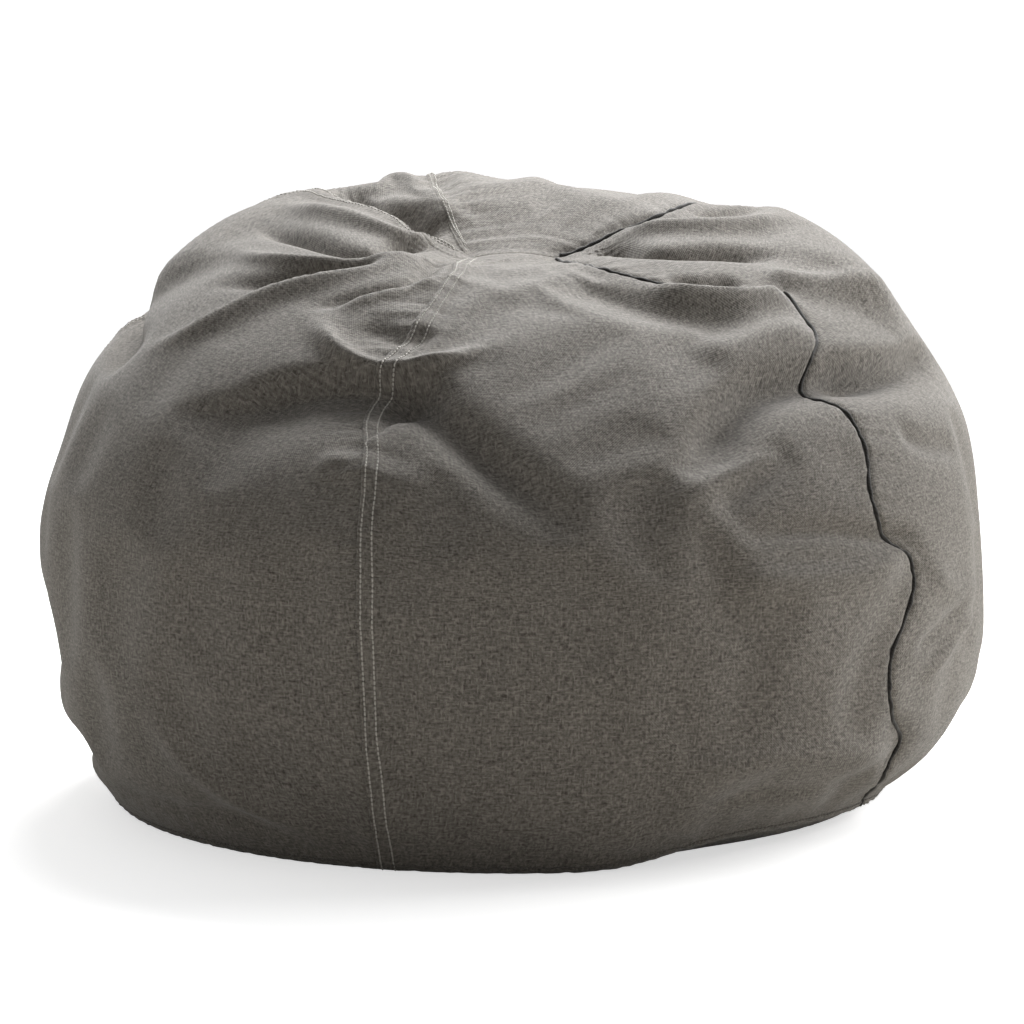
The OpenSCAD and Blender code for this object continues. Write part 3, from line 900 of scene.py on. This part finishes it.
def base_panel(ring, side, z0, thick, slot_l, hem_top):
    """Both sides and flat cloth of half a base: a panel from a zip's slot to the bottom ring."""
    outer = half_ring(ring, side, BASE_COLUMNS)
    x = np.linspace(outer[0, 0], outer[-1, 0], BASE_COLUMNS)
    open_half = SLOT_HALF * (1 - ease((np.abs(x) - slot_l / 2) / 0.004)) + 0.0002
    inner = np.stack([x, side * open_half, np.full(BASE_COLUMNS, z0)], 1)
    length = np.linalg.norm((outer - inner)[:, :2], axis=1)
    hem = np.array(HEM_STEPS)
    squeeze = np.minimum(1, length / (2 * hem[-1]))[:, None]
    near = hem[None, :] * squeeze
    rest = near[:, -1:] + (length[:, None] - near[:, -1:]) * np.linspace(0, 1, BASE_ROWS + 1)[None, 1:]
    d = np.concatenate([near, rest], 1)
    w = (d / np.maximum(length[:, None], 1e-6))[..., None]
    low = inner[:, None, :] * (1 - w) + outer[:, None, :] * w
    rise = np.maximum(outer[:, None, 2] - z0, 0) * ease(1 - (length[:, None] - d) / 0.05)
    edge = np.clip(HEM_ROUND - d, 0, HEM_ROUND)
    low[..., 2] = z0 + rise + HEM_ROUND - np.sqrt(HEM_ROUND ** 2 - edge ** 2)
    open_here = (open_half > SLOT_HALF / 2)[:, None]
    depth = np.where(open_here, hem_top + (thick - hem_top) * ease((d - HEM_W) / 0.0015), thick)
    high = low.copy()
    high[..., 2] = z0 + rise + depth - (HEM_ROUND - np.sqrt(HEM_ROUND ** 2 - edge ** 2))
    flat = low[..., :2]
    return (high, low, flat) if side < 0 else (low, high, flat)


def strip(profile, xs):
    """A closed bar along X from a profile of (y, z) points that runs anticlockwise seen from +X."""
    n = len(profile)
    points = [(x, y, z) for x in xs for y, z in profile]
    faces = [[j * n + i, j * n + (i + 1) % n, (j + 1) * n + (i + 1) % n, (j + 1) * n + i]
             for j in range(len(xs) - 1) for i in range(n)]
    caps = [list(range(n))[::-1], [(len(xs) - 1) * n + i for i in range(n)]]
    return np.array(points), faces + caps


def build_zip(kind, slot):
    """Tapes and coils of the cover's or the liner's zip, where the CAD model has them."""
    for half in ("front", "rear"):
        low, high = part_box(f"{kind}_zip_tape_{half}")
        side = 1 if half == "rear" else -1
        y0, y1 = low.y, high.y
        z0, z1 = low.z, high.z
        profile = [(y0, z0 + 0.0001), (y0 + 0.0004, z0), (y1 - 0.0004, z0), (y1, z0 + 0.0001),
                   (y1, z1 - 0.0001), (y1 - 0.0004, z1), (y0 + 0.0004, z1), (y0, z1 - 0.0001)]
        points, faces = strip(profile, np.linspace(low.x - TAPE_END, high.x + TAPE_END, 120))
        tape = new_mesh(f"{kind}_zip_tape_{half}_cloth", points, faces, MATERIALS[slot])
        set_cloth_map(tape, points[:, :2])
        place(tape, f"{kind}_zip_tape_{half}")
        low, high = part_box(f"{kind}_zip_coil_{half}")
        turns = int((high.x - low.x - 2 * COIL_WIRE_R) / COIL_PITCH)
        turn = np.linspace(0, turns, turns * 10 + 1)
        angle = 2 * math.pi * turn + (0 if half == "front" else math.pi)
        centre, half_size = (low + high) / 2, (high - low) / 2
        line = np.stack([
            low.x + COIL_WIRE_R + turn * COIL_PITCH,
            centre.y + side * (half_size.y - COIL_WIRE_R) * np.cos(angle),
            centre.z + (half_size.z - COIL_WIRE_R) * np.sin(angle),
        ], 1)
        away = np.stack([np.zeros_like(turn), side * np.cos(angle), np.sin(angle)], 1)
        points, faces = tube(line, COIL_WIRE_R, 6, away)
        coil = new_mesh(f"{kind}_zip_coil_{half}_spiral", points, faces, MATERIALS["zip_coil"])
        place(coil, f"{kind}_zip_coil_{half}")


def finish_metal():
    """The CAD sliders and stops stay, with a plated finish."""
    for name in [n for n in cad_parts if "slider" in n or "stops" in n]:
        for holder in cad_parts[name].material_slots:
            holder.material = MATERIALS["zip_metal"]


def build_label():
    """Blank folded satin label, caught in the base seam, curling a little at its free end."""
    low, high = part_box("care_label")
    rows, cols = 24, 20
    az = np.degrees(np.arctan2((low.x + high.x) / 2, -(low.y + high.y) / 2))
    share = np.linspace(0.004, 0.066, rows + 1)[:, None] + np.zeros((1, cols + 1))
    radius = np.linalg.norm(bag(np.full_like(share, az), share)[..., :2], axis=-1)
    across = az + np.degrees(LABEL_HALF / radius) * np.linspace(-1, 1, cols + 1)[None, :]
    grid = folded(across, share, fold_heights(across, share), np.zeros_like(share))
    out = normals_of(grid)
    up = np.linspace(0, 1, rows + 1)[:, None, None]
    grid = grid + out * (0.0011 + 0.004 * up ** 2 * (1 + 0.5 * np.sin(3 * up)))
    out = normals_of(grid)
    flat = np.stack(np.meshgrid(np.linspace(0, 0.052, cols + 1), np.linspace(0, 0.06, rows + 1)), -1)
    add_sheet("care_label_tape", grid + out * 0.0005, grid, flat, "label", "care_label")


# ---- liner and filling ----

def inner_surface(heights, inset, z0):
    """A coarse grid round the bag, at least an inset inside every fold and not below z0."""
    az, share, offset = whole_grid()
    for _ in range(3):
        around = [np.roll(heights, k, 1) for k in (-1, 0, 1)]
        heights = np.minimum.reduce(around)
        above, below = np.vstack([heights[1:], heights[-1:]]), np.vstack([heights[:1], heights[:-1]])
        heights = np.minimum.reduce([above, heights, below])
    heights = averaged(heights, 3)
    grid = folded(az, share, heights - inset, offset)
    grid[..., 2] = np.maximum(grid[..., 2], z0)
    return grid


def build_liner(heights):
    """Five gores of lining cloth. Returns the liner's whole surface."""
    z0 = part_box("liner_base_front")[0].z
    whole = inner_surface(heights, LINER_INSET, z0)
    for g, name in enumerate(GORES):
        columns = np.arange(g * CLOTH_COLS, (g + 1) * CLOTH_COLS + 1) % whole.shape[1]
        grid = whole[:, columns]
        inside = grid - normals_of(grid) * LINER_T
        piece = add_sheet(f"liner_gore_{name}_cloth", grid, inside, grid[..., [0, 2]], "liner_cloth",
                          f"liner_gore_{name}")
    return whole


def build_bases(grids, liner):
    """The front and rear base panels of the cover and the liner."""
    for kind, ring, slot in (("cover", bottom_ring(grids)[0], "canvas"),
                             ("liner", liner[0], "liner_cloth")):
        tape_low, tape_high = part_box(f"{kind}_zip_tape_rear")
        z0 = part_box(f"{kind}_base_front")[0].z
        thick = COVER_T if kind == "cover" else LINER_T
        for side, half in ((-1, "front"), (1, "rear")):
            outside, inside, flat = base_panel(ring * (BASE_INSET, BASE_INSET, 1), side, z0, thick,
                                               tape_high.x - tape_low.x, tape_low.z - z0)
            add_sheet(f"{kind}_base_{half}_cloth", outside, inside, flat, slot, f"{kind}_base_{half}")


def build_fill(heights):
    """The mass of beads as one closed shape, flat below, with a channel over the liner's zip."""
    z0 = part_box("bead_fill")[0].z
    wall = inner_surface(heights, FILL_INSET, z0)
    top = wall[-1].mean(0)
    wall = wall[:-3]
    cols = wall.shape[1]
    shrink = np.linspace(1, 0, 25)[1:-1]
    floor = wall[0][None] * np.stack([shrink, shrink, np.ones_like(shrink)], 1)[:, None, :]
    channel_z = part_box("liner_zip_slider")[1].z + FILL_CLEARANCE
    over = ease(1.6 - np.abs(floor[..., 1]) / CHANNEL_W)
    over = over * ease((CHANNEL_L - np.abs(floor[..., 0])) / 0.01)
    floor[..., 2] = z0 + (channel_z - z0) * over
    rings = np.concatenate([floor[::-1], wall])
    count = len(rings)
    points = np.concatenate([rings.reshape(-1, 3), [top, (0, 0, channel_z)]])
    faces = wrapped_faces(count - 1, cols).tolist()
    end = count * cols
    faces += [[(count - 1) * cols + c, (count - 1) * cols + (c + 1) % cols, end] for c in range(cols)]
    faces += [[(c + 1) % cols, c, end + 1] for c in range(cols)]
    piece = new_mesh("bead_filling", points, faces, MATERIALS["beads"])
    place(piece, "bead_fill")


# ---- stage, light and camera ----

FLOOR_HALF = 30
STUDIO_WHITE = (0.23, 1.35)    # brightness of the studio on the camera's side, and behind the bag
LAMP_SIZE = 1.5
LAMP_TARGET = (0.05, 0, 0.35)
CAMERA_LENS = 124.8
CAMERA_AT = (-0.002, -3.5, 0.7)
CAMERA_PITCH = 6.87            # degrees below level


def build_stage():
    """A pale floor that glows a little for the camera, so it reads as white as the studio."""
    material, tree, shader = principled("studio_floor", (0.9, 0.9, 0.9), 0.9)
    on_view = node(tree, "ShaderNodeLightPath").outputs["Is Camera Ray"]
    tone = ramp(tree, on_view, (0.0, (0.85, 0.82, 0.76)), (1.0, (0.9, 0.9, 0.9)))
    tree.links.new(tone, shader.inputs["Base Color"])
    tree.links.new(maths(tree, "MULTIPLY", on_view, 0.6), shader.inputs["Emission Strength"])
    corners = [(-FLOOR_HALF, -FLOOR_HALF, 0), (FLOOR_HALF, -FLOOR_HALF, 0),
               (FLOOR_HALF, FLOOR_HALF, 0), (-FLOOR_HALF, FLOOR_HALF, 0)]
    new_mesh("studio_floor", corners, [(0, 1, 2, 3)], material)


def area_light(name, spot, watts):
    """A round soft lamp at spot, aimed at the bag."""
    lamp = bpy.data.lights.new(name, "AREA")
    lamp.shape = "DISK"
    lamp.size = LAMP_SIZE
    lamp.energy = watts
    holder = bpy.data.objects.new(name, lamp)
    holder.location = spot
    holder.rotation_euler = (Vector(LAMP_TARGET) - Vector(spot)).to_track_quat("-Z", "Y").to_euler()
    bpy.context.scene.collection.objects.link(holder)


def build_light():
    """A white studio, brighter behind the bag, with a lamp over its back and one on its right."""
    world = bpy.data.worlds.new("studio")
    world.use_nodes = True
    tree = world.node_tree
    place_at = node(tree, "ShaderNodeTexCoord").outputs["Generated"]
    behind = node(tree, "ShaderNodeVectorMath", place_at, (0, 1, 0),
                  operation="DOT_PRODUCT").outputs["Value"]
    white = remap(tree, behind, 0.0, 1.0, *STUDIO_WHITE)
    tree.links.new(white, tree.nodes["Background"].inputs["Color"])
    tree.nodes["Background"].inputs["Strength"].default_value = 1.0
    bpy.context.scene.world = world
    area_light("over_back", (0.1, 1.3, 2.0), 79)
    area_light("right", (2.2, 0.4, 1.5), 47)
    bpy.context.scene.view_settings.view_transform = "Standard"


def build_camera():
    """A camera in front of the bag, looking a little down, as in the photo."""
    lens = bpy.data.cameras.new("camera")
    lens.lens = CAMERA_LENS
    lens.sensor_width = 36
    camera = bpy.data.objects.new("camera", lens)
    camera.location = CAMERA_AT
    camera.rotation_euler = (math.radians(90 - CAMERA_PITCH), 0, 0)
    lens.clip_end = 100
    bpy.context.scene.collection.objects.link(camera)
    bpy.context.scene.camera = camera


build_camera()
build_stage()
build_light()
shares, column_parts, cover, cover_heights = cover_surface()
build_cover_gores(shares, column_parts, cover)
build_piping(cover)
build_topstitch(cover)
build_base_stitch(cover)
liner = build_liner(cover_heights)
build_bases(cover, liner)
build_fill(cover_heights)
build_zip("cover", "zip_tape")
build_zip("liner", "liner_cloth")
build_label()
finish_metal()
